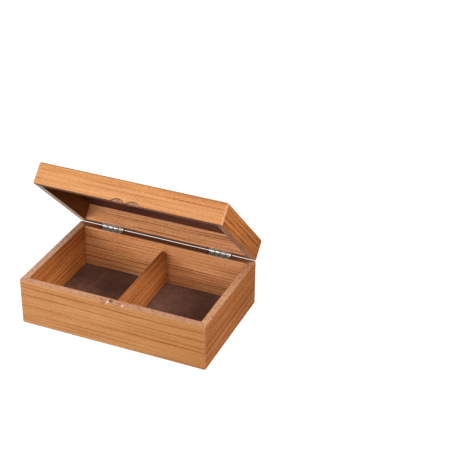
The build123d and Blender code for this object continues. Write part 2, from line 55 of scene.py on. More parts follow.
# ---------------------------------------------------------------------------
# A small shader graph writer: wires add, multiply and so on like numbers.
# ---------------------------------------------------------------------------
class Wire:
    def __init__(self, graph, socket):
        self.graph, self.socket = graph, socket

    def __add__(self, other):
        return self.graph.math("ADD", self, other)

    __radd__ = __add__

    def __mul__(self, other):
        return self.graph.math("MULTIPLY", self, other)

    __rmul__ = __mul__

    def __sub__(self, other):
        return self.graph.math("SUBTRACT", self, other)

    def __rsub__(self, other):
        return self.graph.math("SUBTRACT", other, self)

    def __abs__(self):
        return self.graph.math("ABSOLUTE", self)


class Graph:
    """One material and its nodes."""

    def __init__(self, name):
        self.material = bpy.data.materials.new(name)
        self.material.use_nodes = True
        self.tree = self.material.node_tree
        self.tree.nodes.clear()
        self.count = 0
        self.out = self.add("ShaderNodeOutputMaterial")
        self.shader = self.add("ShaderNodeBsdfPrincipled")
        self.tree.links.new(self.shader.outputs[0], self.out.inputs["Surface"])

    def add(self, kind):
        made = self.tree.nodes.new(kind)
        made.location = (-220 * (self.count % 12), -170 * (self.count // 12))
        self.count += 1
        return made

    def put(self, socket, value):
        if isinstance(value, Wire):
            self.tree.links.new(value.socket, socket)
        else:
            socket.default_value = value

    def math(self, operation, *values, clamp=False):
        made = self.add("ShaderNodeMath")
        made.operation, made.use_clamp = operation, clamp
        for socket, value in zip(made.inputs, values):
            self.put(socket, value)
        return Wire(self, made.outputs[0])

    def least(self, a, b):
        return self.math("MINIMUM", a, b)

    def most(self, a, b):
        return self.math("MAXIMUM", a, b)

    def step(self, x, low, high, start=0.0, end=1.0):
        """Goes smoothly from start at low to end at high, and stays there."""
        made = self.add("ShaderNodeMapRange")
        made.interpolation_type, made.clamp = "SMOOTHSTEP", True
        if low > high:
            low, high, start, end = high, low, end, start
        self.put(made.inputs[0], x)
        for socket, value in zip(made.inputs[1:5], (low, high, start, end)):
            socket.default_value = value
        return Wire(self, made.outputs[0])

    def point(self, x, y, z):
        made = self.add("ShaderNodeCombineXYZ")
        for socket, value in zip(made.inputs, (x, y, z)):
            self.put(socket, value)
        return Wire(self, made.outputs[0])

    def noise(self, x, y, z, detail=2.0, rough=0.5, bend=0.0):
        """Noise about 0.5. x, y and z are already in cells."""
        made = self.add("ShaderNodeTexNoise")
        made.noise_dimensions = "3D"
        self.put(made.inputs["Vector"], self.point(x, y, z))
        made.inputs["Scale"].default_value = 1.0
        made.inputs["Detail"].default_value = detail
        made.inputs["Roughness"].default_value = rough
        made.inputs["Distortion"].default_value = bend
        return Wire(self, made.outputs[0])

    def curve(self, x, points):
        made = self.add("ShaderNodeFloatCurve")
        line = made.mapping.curves[0]
        line.points[0].location = points[0]
        line.points[1].location = points[-1]
        for p in points[1:-1]:
            line.points.new(*p)
        for p in line.points:
            p.handle_type = "VECTOR"
        made.mapping.use_clip = True
        made.mapping.update()
        made.inputs["Factor"].default_value = 1.0
        self.put(made.inputs["Value"], x)
        return Wire(self, made.outputs[0])

    def ramp(self, x, stops):
        made = self.add("ShaderNodeValToRGB")
        stops = sorted(stops)
        colours = made.color_ramp.elements
        while len(colours) < len(stops):
            colours.new(0.5)
        for element, (place, colour) in zip(colours, stops):
            element.position = place
            element.color = (*colour, 1.0)
        self.put(made.inputs[0], x)
        return Wire(self, made.outputs[0])

    def mix(self, share, a, b, blend="MIX"):
        made = self.add("ShaderNodeMix")
        made.data_type, made.blend_type, made.clamp_factor = "RGBA", blend, True
        self.put(made.inputs[0], share)
        for socket, value in ((made.inputs[6], a), (made.inputs[7], b)):
            self.put(socket, value if isinstance(value, Wire) else (*value, 1.0))
        return Wire(self, made.outputs[2])

    def bump(self, height, depth_mm, strength=1.0):
        made = self.add("ShaderNodeBump")
        made.inputs["Strength"].default_value = strength
        made.inputs["Distance"].default_value = depth_mm / 1000.0
        self.put(made.inputs["Height"], height)
        return Wire(self, made.outputs[0])

    def closed(self, lid):
        """X, Y and Z in millimetres, with an open lid's points brought back to where they are when it is closed."""
        here = self.add("ShaderNodeTexCoord")
        here = Wire(self, here.outputs["Object"])
        back = self.add("ShaderNodeMapping")
        back.vector_type = "POINT"
        if lid:
            turn = Matrix.Rotation(OPEN, 3, "X")
            move = (PIVOT - turn @ PIVOT) * 1000.0
            back.inputs["Rotation"].default_value = (OPEN, 0.0, 0.0)
            back.inputs["Location"].default_value = move
        back.inputs["Scale"].default_value = (1000.0, 1000.0, 1000.0)
        self.put(back.inputs["Vector"], here)
        apart = self.add("ShaderNodeSeparateXYZ")
        self.put(apart.inputs[0], Wire(self, back.outputs[0]))
        return [Wire(self, s) for s in apart.outputs]

    def scoop(self, x, z, lid):
        """How far a point on the front is from the rim of the nearer finger scoop: below 0 inside it."""
        level = LID_LOW - SCOOP[1] if lid else BASE_TOP + SCOOP[1]
        dx, dz = abs(x) - SCOOP[0], z - level
        return self.math("SQRT", dx * dx + dz * dz) - SCOOP[2]

    def finish(self, colour, roughness, normal=None, **constants):
        self.put(self.shader.inputs["Base Color"], colour)
        self.put(self.shader.inputs["Roughness"], roughness)
        if normal is not None:
            self.put(self.shader.inputs["Normal"], normal)
        for name, value in constants.items():
            self.shader.inputs[name.replace("_", " ")].default_value = value
        return self.material


# ---------------------------------------------------------------------------
# Striped veneer. A dark line is (place, width, depth of tone, soft tail), all
# but the tone in millimetres across the grain. The five lists here follow the
# main dark lines of the faces that the photo shows.
# ---------------------------------------------------------------------------
FRONT = [
    (1.3, 0.8, 0.35, 0.8), (8.6, 0.9, 0.62, 1.2), (12.6, 0.7, 0.34, 0.6),
    (18.9, 0.5, 0.14, 0.8), (24.4, 0.5, 0.18, 0.8), (31.2, 0.8, 0.50, 1.0),
    (35.7, 1.0, 0.80, 1.2), (39.7, 0.6, 0.34, 0.6), (44.1, 0.4, 0.16, 0.6),
    (46.6, 0.9, 0.86, 1.6), (50.6, 0.4, 0.14, 0.6), (56.4, 0.8, 0.46, 1.0),
    (61.1, 1.2, 0.74, 1.8), (64.2, 0.5, 0.20, 0.6), (69.2, 0.4, 0.14, 0.8),
    (72.0, 0.7, 0.34, 0.8), (77.2, 0.9, 0.62, 1.2), (81.6, 1.0, 0.72, 1.0),
    (85.3, 0.7, 0.40, 0.8),
]
RIGHT = [
    (2.2, 0.6, 0.35, 0.8), (5.9, 1.2, 0.80, 1.0), (10.8, 0.9, 0.55, 1.0),
    (16.2, 1.1, 0.70, 1.2), (22.5, 1.0, 0.62, 1.6), (25.0, 0.7, 0.66, 0.8),
    (30.4, 0.8, 0.46, 1.0), (33.8, 0.5, 0.24, 0.6), (39.4, 1.1, 0.70, 1.4),
    (44.0, 0.5, 0.26, 0.8), (50.0, 0.8, 0.45, 1.0), (54.1, 1.1, 0.66, 1.2),
    (60.8, 0.6, 0.34, 1.0), (64.2, 1.5, 1.00, 1.6), (72.4, 0.7, 0.32, 1.0),
    (76.8, 1.0, 0.56, 1.2), (82.2, 1.2, 0.66, 1.0),
]
TOP = [
    (3.9, 0.8, 0.36, 1.6), (11.7, 1.0, 0.16, 3.0), (22.0, 0.9, 0.28, 2.0),
    (29.8, 0.8, 0.14, 2.0), (36.6, 1.3, 0.56, 2.6), (43.5, 0.8, 0.18, 2.0),
    (49.8, 2.4, 0.34, 3.5), (56.7, 0.9, 0.26, 1.6), (64.5, 0.9, 0.24, 2.0),
    (70.3, 0.7, 0.14, 2.0), (79.5, 1.8, 0.66, 2.6), (86.0, 0.8, 0.16, 2.0),
    (93.3, 1.0, 0.36, 2.2), (99.2, 0.7, 0.16, 1.6), (104.3, 1.0, 0.36, 1.8),
    (118.2, 1.0, 0.32, 2.2), (126.0, 0.7, 0.16, 1.6), (132.9, 1.2, 0.42, 2.0),
    (140.7, 0.8, 0.20, 1.6),
]
INNER_BACK = [
    (4.0, 0.7, 0.28, 1.0), (9.6, 0.5, 0.16, 0.8), (15.0, 0.8, 0.36, 1.2),
    (19.5, 0.7, 0.34, 1.0), (24.0, 0.5, 0.26, 0.8), (28.5, 0.9, 0.52, 1.2),
    (32.7, 0.8, 0.44, 1.0), (37.0, 1.0, 0.58, 1.2), (40.4, 0.5, 0.30, 0.8),
    (43.5, 1.0, 0.56, 1.2), (46.2, 0.6, 0.36, 0.8), (48.5, 0.7, 0.44, 1.0), (51.0, 0.6, 0.36, 0.8), (53.0, 0.9, 0.48, 1.2),
]
INNER_LEFT = [
    (4.0, 0.7, 0.40, 1.0), (10.0, 0.8, 0.46, 1.2), (13.6, 0.5, 0.26, 0.8),
    (17.0, 0.9, 0.52, 1.0), (21.0, 0.8, 0.46, 1.0), (26.0, 1.0, 0.56, 1.2),
    (32.0, 0.8, 0.50, 1.0), (37.0, 1.0, 0.58, 1.2), (41.0, 0.5, 0.30, 0.8),
    (45.0, 1.0, 0.60, 1.2), (49.0, 0.9, 0.52, 1.0), (54.0, 0.8, 0.46, 1.0),
]


def invented(seed, span, pitch=4.6, tone=0.46):
    """Lines for a face that isn't seen, spaced and weighted like the seen ones."""
    pick = random.Random(seed)
    place, lines = pick.uniform(1.0, pitch), []
    while place < span - 0.8:
        strong = pick.random() ** 1.6
        lines.append(
            (place, pick.uniform(0.5, 1.2), tone * (0.35 + 1.2 * strong), pick.uniform(0.6, 1.6))
        )
        place += pick.uniform(0.5, 1.5) * pitch
    return lines


def tone_curve(lines, span):
    """The lines as one curve from 0 to 1 across the face: sharp on the lower side, with a soft tail above."""
    steps, fine = [], 8 * 256
    for i in range(257):
        total = 0.0
        for j in range(-4, 5):
            at = span * (i * 8 + j) / fine
            for place, width, tone, tail in lines:
                off = at - place
                reach = width * 0.5 + (tail if off < 0 else 0.25)
                if abs(off) < reach:
                    flat = width * 0.28
                    t = max(0.0, (abs(off) - flat) / (reach - flat))
                    total += tone * (1.0 - t) ** 2 / 9.0
        steps.append((i / 256.0, min(1.0, total)))
    kept = [steps[0]]
    for a, b, c in zip(steps, steps[1:], steps[2:]):
        if abs(b[1] - (a[1] + c[1]) / 2) > 0.004:
            kept.append(b)
    kept.append(steps[-1])
    return kept


# Tones of the veneer from its palest to its darkest, as linear colour.
WOOD = [
    (0.00, (0.800, 0.395, 0.165)),
    (0.30, (0.700, 0.300, 0.105)),
    (0.52, (0.560, 0.205, 0.060)),
    (0.74, (0.385, 0.120, 0.034)),
    (1.00, (0.170, 0.048, 0.017)),
]


def uneven(g, x, y, z, colour, shade):
    """A colour that shifts along a face, fitted to the photo's light and shade:
    (axis, from, to, tint at the far end). |x| counts out from the middle."""
    axis, start, end, far = shade
    place = {"x": x, "y": y, "z": z}[axis] if axis != "|x|" else abs(x)
    return g.mix(g.step(place, start, end), colour, g.mix(1.0, colour, far, "MULTIPLY"))


def veneer(name, along, down, span, lines, lid, seed, drift=(0.0, 0.0), outer=None,
           tint=(1.0, 1.0, 1.0), warm=0.0, contrast=1.0, grit=1.0, shine=0.42, shade=None):
    """Veneer on one face. along is the axis the grain runs on, and down gives the
    distance across it from the closed graph's X, Y and Z. outer names the outer face it covers, if any."""
    g = Graph(name)
    x, y, z = g.closed(lid)
    u = x if along == "X" else y
    reach = HALF_W if along == "X" else HALF_D
    v = down(g, x, y, z)
    w = {"front": y, "back": y, "left": x, "right": x, "top": z}.get(outer, z if along == "X" else z)

    slide = (u + reach) * (1.0 / (2.0 * reach))
    bend = g.noise(u * (1 / 170.0), v * (1 / 46.0), seed + 0.37, detail=1.0) - 0.5
    ripple = g.noise(u * (1 / 44.0), v * (1 / 11.0), seed + 3.11, detail=1.0) - 0.5
    vw = v - slide * (v * drift[1] + drift[0]) + bend * 3.0 + ripple * 0.9

    # Growth lines, the strong ones listed, each fading and breaking along its length
    strong = g.curve(vw * (1.0 / span), tone_curve(lines, span))
    fade = g.noise(u * (1 / 60.0), vw * (1 / 5.0), seed + 7.9, detail=2.0)
    dash = g.noise(u * (1 / 5.0), vw * (1 / 0.75), seed + 9.3, detail=1.0)
    strong = strong * g.step(fade, 0.30, 0.66, 0.45, 1.12) * g.step(dash, 0.28, 0.62, 0.62, 1.12)

    # The finer grain between them
    fine = g.noise(u * (1 / 95.0), vw * (1 / 0.8), seed + 13.7, detail=2.0, rough=0.6) - 0.5
    mid = g.noise(u * (1 / 190.0), vw * (1 / 2.9), seed + 17.2, detail=1.5) - 0.5
    broad = g.noise(u * (1 / 260.0), vw * (1 / 15.0), seed + 21.9, detail=1.0) - 0.5
    cloud = g.noise(u * (1 / 34.0), v * (1 / 22.0), seed + 25.1, detail=2.0) - 0.5

    # Open pores: short dark dashes in the denser wood
    pore = g.noise(u * (1 / 3.4), vw * (1 / 0.19), seed + 31.3, detail=1.0)
    pore = g.step(pore, 0.585, 0.70) * g.step(mid + fine * 0.6, -0.12, 0.14, 0.35, 1.0)
    # Ray flecks: faint pale ticks that stand across the grain
    fleck = g.noise(u * (1 / 0.7), v * (1 / 2.6), seed + 37.7, detail=1.0)
    fleck = g.step(fleck, 0.60, 0.74)

    # Short uneven dabs of tone that break up every band
    dab = g.noise(u * (1 / 2.7), vw * (1 / 0.90), seed + 33.1, detail=2.0, rough=0.65) - 0.5
    thread = g.noise(u * (1 / 70.0), vw * (1 / 1.15), seed + 35.9, detail=1.0) - 0.5

    tone = (strong * (0.56 * contrast) + fine * (0.42 * contrast) + mid * (0.50 * contrast)
            + thread * (0.46 * contrast) + dab * (0.55 * grit)
            + broad * 0.34 + cloud * 0.16 + pore * (0.17 * grit) - fleck * 0.035 + 0.30)
    stops = [(p, tuple(c * t for c, t in zip(colour, tint))) for p, colour in WOOD]
    colour = g.ramp(tone, stops)
    # Some lines are redder than others
    red = g.noise(u * (1 / 210.0), vw * (1 / 4.4), seed + 41.5, detail=1.0)
    colour = g.mix(g.step(red, 0.46, 0.66, 0.0, 0.34), colour, (1.05, 0.86, 0.80), "MULTIPLY")
    gold = g.noise(u * (1 / 230.0), vw * (1 / 8.0), seed + 47.5, detail=1.0)
    colour = g.mix(g.step(gold, 0.50, 0.70, 0.0, 0.5), colour, (1.03, 1.03, 0.90), "MULTIPLY")
    if warm:
        colour = g.mix(warm, colour, (1.0, 0.88, 0.74), "MULTIPLY")

    if shade is not None:
        colour = uneven(g, x, y, z, colour, shade)

    rough = 0.40 + fine * 0.22 + pore * 0.22 + cloud * 0.14
    height = fine * 0.5 + mid * 0.25 + dab * 0.25 - pore * 0.9 - strong * 0.35

    ax, ay = abs(x), abs(y)
    if outer:
        chips = g.noise(u * (1 / 7.0), v * (1 / 2.4), seed + 53.0, detail=3.0, rough=0.6)
        corner = (ax + ay) * -1.0 + (HALF_W + HALF_D - EDGE)     # 0 on an upright corner's bevel
        # The lid's upright corners are paler, still with the grain in them: sanded through, with a painted highlight
        # on the eased corner
        pale = g.mix(0.50 if lid else 0.06, colour, (0.86, 0.50, 0.29))
        colour = g.mix(g.step(corner, 0.16, 0.03) * g.step(chips, 0.34, 0.58, 0.55, 1.0), colour, pale)
        if lid:
            ridge = z * -1.0 + (LID_TOP - EDGE)
            side = ay + (-HALF_D) if outer in ("front", "back") else ax + (-HALF_W)
            if outer == "top":
                ridge = g.least(HALF_W - ax, HALF_D - ay) + (LID_TOP - EDGE) - z
            else:
                ridge = ridge - side
            dull = g.step(ridge, 0.16, 0.03)
            rough = rough + dull * 0.42
            # Round the top, a thin, brown, slightly ragged line: the veneer's own edge, darkened further as painted
            # shade over the bevel's highlight
            colour = g.mix(dull * g.step(chips, 0.34, 0.58, 0.30, 0.62), colour,
                           (0.30, 0.130, 0.058))
        # Beside its upright edges the face is a little paler and smoother: rubbed by handling, and a painted
        # highlight of the eased corner
        rub_and_highlight = g.step(corner, 1.6, 0.1) * g.step(chips, 0.42, 0.62)
        colour = g.mix(rub_and_highlight * 0.20, colour, (0.86, 0.50, 0.27))
        rough = rough - rub_and_highlight * 0.08
        if outer == "front":
            # A brown line along the scoops' sharp rims: painted shade on the lid, where the scoop's edge faces down;
            # fainter on the base
            ring = g.step(g.scoop(x, z, lid), 0.70, 0.10)
            colour = g.mix(ring * (0.78 if lid else 0.40), colour, (0.22, 0.085, 0.032))
        if outer != "top":
            # The saw cut at the seam: the veneer's own edge is dark and dry
            seam = g.step(z, LID_LOW + 0.10, LID_LOW + 0.02) if lid else g.step(z, BASE_TOP - 0.10, BASE_TOP - 0.02)
            colour = g.mix(seam * (0.80 if outer == "front" else 0.95), colour,
                           (0.26, 0.105, 0.055) if outer == "front" else (0.13, 0.060, 0.040))
            lip = (g.step(z, LID_LOW + 0.62, LID_LOW + 0.30) if lid else g.step(z, BASE_TOP - 0.62, BASE_TOP - 0.30))
            colour = g.mix(lip * g.step(chips, 0.36, 0.60, 0.10, 0.42), colour, (0.84, 0.50, 0.28))
            if not lid:
                foot = g.step(z, 2.6, 0.3) * g.step(chips, 0.36, 0.66, 0.25, 0.75)
                colour = g.mix(foot * 0.45, colour, (0.30, 0.145, 0.065))
                rough = rough + foot * 0.12
    else:
        # Painted shade: the inside corners darker
        corner = g.least(INNER_W - ax, INNER_D - ay)
        if along == "X":
            corner = INNER_W - ax
        else:
            corner = INNER_D - ay
        corner_shade = g.step(corner, 1.8, 0.0) * 0.32
        colour = g.mix(corner_shade, colour, (0.16, 0.07, 0.032))
        if name == "lining_base_back":
            # Painted light and shade: darker just under the rim, lighter in the left compartment towards the divider
            # and at the upper left, darker close beside the divider
            colour = g.mix(g.step(z, BASE_TOP - 1.7, BASE_TOP - 0.4) * 0.72, colour, (0.085, 0.036, 0.018))
            pale = g.step(x, -62.0, -22.0) * g.step(x, 1.0, -1.0)
            colour = g.mix(pale, colour, g.mix(1.0, colour, (1.15, 1.20, 1.26), "MULTIPLY"))
            high = g.step(z, 44.0, 56.0) * g.step(x, -20.0, -60.0)
            colour = g.mix(high, colour, g.mix(1.0, colour, (1.10, 1.20, 1.32), "MULTIPLY"))
            beside = g.step(x, 11.0, 3.0) * g.step(x, -4.0, -1.0) * g.step(z, 56.0, 42.0)
            colour = g.mix(beside * 0.42, colour, (0.12, 0.045, 0.02))
        if name == "lining_lid_back":
            # Painted shade: darker just above the lid's rim
            colour = g.mix(g.step(z, LID_LOW + 1.6, LID_LOW + 0.5) * 0.75, colour, (0.085, 0.036, 0.018))
        cut = g.step(z, LID_LOW + 0.10, LID_LOW + 0.02) if lid else g.step(z, BASE_TOP - 0.10, BASE_TOP - 0.02)
        colour = g.mix(cut * 0.75, colour, (0.30, 0.13, 0.065))
    return g.finish(colour, g.math("MAXIMUM", rough, 0.22), g.bump(height, 0.10, 0.55), Specular_IOR_Level=shine)


# ---------------------------------------------------------------------------
# The core: pale, pinkish close-pored wood, seen on the rims and cut edges.
# ---------------------------------------------------------------------------
def core(name, along, lid, seed, tint, bright=1.0, grit=1.0, shade=None):
    g = Graph(name)
    x, y, z = g.closed(lid)
    u, v = (x, y) if along == "X" else (y, x)
    streak = g.noise(u * (1 / 30.0), v * (1 / 1.3), z * (1 / 1.3) + seed, detail=3.0, rough=0.6) - 0.5
    cloud = g.noise(u * (1 / 26.0), v * (1 / 9.0), z * (1 / 9.0) + seed + 5, detail=2.0) - 0.5
    speck = g.noise(u * (1 / 2.9), v * (1 / 1.5), z * (1 / 1.5) + seed + 9, detail=2.0, rough=0.6)
    dark = g.step(speck, 0.53, 0.68)
    fair = g.step(speck, 0.45, 0.31)
    tone = streak * 0.55 + cloud * 0.35 + 0.42
    colour = g.ramp(tone, [
        (0.00, tuple(c * bright for c in (0.86 * tint[0], 0.60 * tint[1], 0.43 * tint[2]))),
        (0.45, tuple(c * bright for c in (0.70 * tint[0], 0.41 * tint[1], 0.265 * tint[2]))),
        (1.00, tuple(c * bright for c in (0.46 * tint[0], 0.225 * tint[1], 0.135 * tint[2]))),
    ])
    colour = g.mix(dark * (0.52 * grit), colour, g.mix(1.0, colour, (0.42, 0.30, 0.26), "MULTIPLY"))
    colour = g.mix(fair * (0.40 * grit), colour, g.mix(1.0, colour, (1.35, 1.50, 1.70), "MULTIPLY"))
    if shade is not None:
        colour = uneven(g, x, y, z, colour, shade)
    if name in ("core_base_front", "core_lid_front"):
        # Inside the scoops, where the cut runs across the layers, painted light and shade: on the base browner and
        # darker deep in on the left, and a painted highlight where it climbs out on the right; on the lid paler, with
        # painted shade along the arc and deep in
        into = g.scoop(x, z, lid)
        cut = g.step(into, 0.0, -0.2) * g.step(y, -HALF_D + 5.6, -HALF_D + 4.8)
        below = g.step(z, BASE_TOP - 0.08, BASE_TOP - 0.25) if not lid else g.step(z, LID_LOW + 0.08, LID_LOW + 0.25)
        cut = cut * below
        deep = g.step(y, -HALF_D + 2.4, -HALF_D + 4.6)
        if lid:
            colour = g.mix(cut, colour, g.mix(1.0, colour, (1.48, 1.62, 1.55), "MULTIPLY"))
            colour = g.mix(cut * g.step(into, -0.8, -0.2), colour, (0.24, 0.105, 0.045))
            colour = g.mix(cut * deep * 0.52, colour, (0.13, 0.052, 0.024))
        else:
            local = x - g.step(x, -0.01, 0.01, -SCOOP[0], SCOOP[0])
            colour = g.mix(cut * g.step(local, 5.0, 1.0), colour, g.mix(1.0, colour, (0.74, 0.68, 0.58), "MULTIPLY"))
            colour = g.mix(cut * deep * g.step(local, 4.6, 1.6) * 0.56, colour, (0.22, 0.095, 0.042))
            colour = g.mix(cut * g.step(local, 2.6, 6.4) * 0.66, colour, (0.98, 0.84, 0.70))
    # Where the bevels cut through both veneers, a hair of core shows, stained with the finish
    if lid:
        out = g.least(HALF_W - abs(x), HALF_D - abs(y))
        colour = g.mix(g.step(z, LID_TOP - 1.7, LID_TOP - 1.4) * g.step(out, 1.7, 1.4) * 0.85, colour,
                       (0.30, 0.130, 0.058))
    else:
        upright = (abs(x) + abs(y)) * -1.0 + (HALF_W + HALF_D - EDGE)
        colour = g.mix(g.step(upright, 0.20, 0.05) * 0.70, colour, (0.42, 0.20, 0.085))
    # The glue line of the mitres
    mitre = abs((HALF_W - abs(x)) - (HALF_D - abs(y)))
    colour = g.mix(g.step(mitre, 0.42, 0.10) * 0.55, colour, (0.22, 0.10, 0.06))
    rough = 0.56 + streak * 0.20 + dark * 0.14
    height = streak * 0.6 - dark * 0.8 + fair * 0.2
    return g.finish(colour, rough, g.bump(height, 0.12, 0.6), Specular_IOR_Level=0.35)


def board(name, seed):
    """The thin plain bottom: rotary-cut face with wide soft figure."""
    g = Graph(name)
    x, y, z = g.closed(False)
    bend = g.noise(x * (1 / 120.0), y * (1 / 34.0), seed + 1.0, detail=2.0) - 0.5
    v = y + bend * 22.0
    ring = g.math("PINGPONG", v * (1 / 7.5), 1.0)
    fine = g.noise(x * (1 / 60.0), v * (1 / 0.9), seed + 4.0, detail=3.0, rough=0.6) - 0.5
    cloud = g.noise(x * (1 / 50.0), y * (1 / 18.0), seed + 8.0, detail=2.0) - 0.5
    pore = g.step(g.noise(x * (1 / 3.0), v * (1 / 0.22), seed + 12.0, detail=1.0), 0.58, 0.72)
    tone = ring * 0.20 + fine * 0.34 + cloud * 0.36 + pore * 0.14 + 0.30
    colour = g.ramp(tone, [
        (0.00, (0.640, 0.420, 0.235)), (0.45, (0.500, 0.300, 0.152)), (1.00, (0.250, 0.125, 0.058)),
    ])
    edge = g.least(HALF_W - abs(x), HALF_D - abs(y))
    scuff = g.noise(x * (1 / 9.0), y * (1 / 9.0), seed + 16.0, detail=4.0, rough=0.65)
    colour = g.mix(g.step(scuff, 0.54, 0.68) * 0.20, colour, (0.23, 0.15, 0.10))
    colour = g.mix(g.step(edge, 7.0, 3.6) * 0.25, colour, (0.22, 0.12, 0.07))
    return g.finish(colour, 0.62 + fine * 0.2 + pore * 0.1, g.bump(fine * 0.6 - pore * 0.8, 0.10, 0.6),
                    Specular_IOR_Level=0.30)


# ---------------------------------------------------------------------------
# Nickel plate and felt
# ---------------------------------------------------------------------------
def nickel(name, lid, seed, along="X", base=(0.56, 0.51, 0.47), rough=0.22, dull=0.30, metal=0.74,
           start=None, glint=None):
    g = Graph(name)
    x, y, z = g.closed(lid)
    u, v = (x, y) if along == "X" else (y, x)
    brush = g.noise(u * (1 / 14.0), v * (1 / 0.16), z * (1 / 0.16) + seed, detail=3.0, rough=0.6) - 0.5
    scratch = g.noise(u * (1 / 1.1), v * (1 / 3.2), z * (1 / 3.2) + seed + 4, detail=4.0, rough=0.7)
    scratch = g.step(scratch, 0.60, 0.66)
    haze = g.noise(x * (1 / 5.0), y * (1 / 5.0), z * (1 / 5.0) + seed + 9, detail=3.0, rough=0.6)
    haze = g.step(haze, 0.42, 0.68)
    colour = g.ramp(haze + brush * 0.30, [
        (0.0, base), (0.55, tuple(c * 0.92 for c in base)), (1.0, (base[0] * 0.74, base[1] * 0.71, base[2] * 0.66)),
    ])
    roughness = brush * 0.16 + haze * dull * 0.5 + scratch * 0.10 + rough
    if start is not None:
        # Blotches of tarnish that also paint in dark reflections, and painted shade, nearly black, in the joints
        # between the knuckles
        blotch = g.noise(x * (1 / 2.3), y * (1 / 1.5), z * (1 / 1.5) + seed + 15, detail=2.0, rough=0.6)
        colour = g.mix(g.step(blotch, 0.52, 0.62) * 0.60, colour, (0.27, 0.225, 0.185))
        joint = g.math("PINGPONG", x - start, 3.625)
        colour = g.mix(g.step(joint, 0.60, 0.20), colour, (0.06, 0.055, 0.05))
        roughness = roughness + g.step(blotch, 0.52, 0.62) * 0.12
    if glint is not None:
        # A painted highlight: one spot painted bright as a glint
        dx, dy = x - glint[0], y - glint[1]
        bright = g.step(g.math("SQRT", dx * dx + dy * dy) + haze * 0.3, 1.7, 0.6)
        colour = g.mix(bright, colour, (0.97, 0.90, 0.82))
    return g.finish(colour, roughness, g.bump(brush * 0.5 - scratch * 0.6, 0.03, 0.5), Metallic=metal)


def felt(name, lid, seed, tint=(1.0, 1.0, 1.0), sheen=0.22, shade=None):
    g = Graph(name)
    x, y, z = g.closed(lid)
    fibre = g.noise(x * (1 / 0.55), y * (1 / 0.55), seed + z * (1 / 0.55), detail=5.0, rough=0.68, bend=0.9) - 0.5
    strand = g.noise(x * (1 / 0.26), y * (1 / 2.6), seed + 5.0, detail=3.0, rough=0.6, bend=2.2) - 0.5
    strand2 = g.noise(x * (1 / 2.8), y * (1 / 0.26), seed + 9.0, detail=3.0, rough=0.6, bend=2.2) - 0.5
    mottle = g.noise(x * (1 / 9.0), y * (1 / 9.0), seed + 13.0, detail=4.0, rough=0.6) - 0.5
    clump = g.noise(x * (1 / 1.9), y * (1 / 1.9), seed + 31.0, detail=3.0, rough=0.7, bend=0.6) - 0.5
    nap = g.noise(x * (1 / 46.0), y * (1 / 40.0), seed + 17.0, detail=2.0) - 0.5
    tone = fibre * 1.05 + strand * 0.84 + strand2 * 0.84 + clump * 0.62 + mottle * 0.62 + nap * 0.60 + 0.45
    colour = g.ramp(tone, [(place, tuple(c * t for c, t in zip(shade, tint))) for place, shade in (
        (0.00, (0.038, 0.017, 0.014)), (0.50, (0.104, 0.050, 0.040)), (1.00, (0.215, 0.118, 0.096)))])
    if shade is not None:
        colour = uneven(g, x, y, z, colour, shade)
    # A few paler lint specks
    lint = g.noise(x * (1 / 1.3), y * (1 / 1.3), seed + 23.0, detail=1.0)
    colour = g.mix(g.step(lint, 0.735, 0.79) * 0.30, colour, tuple(c * t for c, t in zip((0.38, 0.28, 0.24), tint)))
    # Painted shade: darker where it meets the walls
    rim = g.least(INNER_W - abs(x), INNER_D - abs(y))
    colour = g.mix(g.step(rim, 2.6, 0.3) * 0.55, colour, (0.022, 0.010, 0.008))
    height = fibre * 0.8 + strand * 0.5 + strand2 * 0.5
    return g.finish(colour, 0.94 + fibre * 0.08, g.bump(height, 0.22, 0.8),
                    Specular_IOR_Level=0.18 if sheen else 0.05, Sheen_Weight=sheen, Sheen_Roughness=0.55,
                    Sheen_Tint=(0.62, 0.46, 0.40, 1.0))


# ---------------------------------------------------------------------------
# Finishes on the carried-over pieces
# ---------------------------------------------------------------------------
# Each screw's tip, and the hole it sits in, has one facet without any area
for name in ("base_hinge_screws", "lid_hinge_screws", "base_back_wall", "lid_back_wall"):
    mesh = node[name].data
    shell = bmesh.new()
    shell.from_mesh(mesh)
    flat = [face for face in shell.faces if face.calc_area() < 1e-13]
    bmesh.ops.delete(shell, geom=flat, context="FACES_ONLY")
    shell.to_mesh(mesh)
    shell.free()


def give(name, material):
    mesh = node[name].data
    mesh.materials.clear()
    mesh.materials.append(material)


from_top = lambda g, x, y, z: LID_TOP - z          # outer walls: down from the lid's top
from_back = lambda g, x, y, z: HALF_D - y          # lid's top: forward from the back edge
from_rim = lambda g, x, y, z: BASE_TOP - z         # inside the base: down from the rim
from_panel = lambda g, x, y, z: 81.8 - z           # inside the lid: down from its panel

BACK, LEFT = invented(11, 87.0), invented(23, 87.0, 4.2, 0.52)
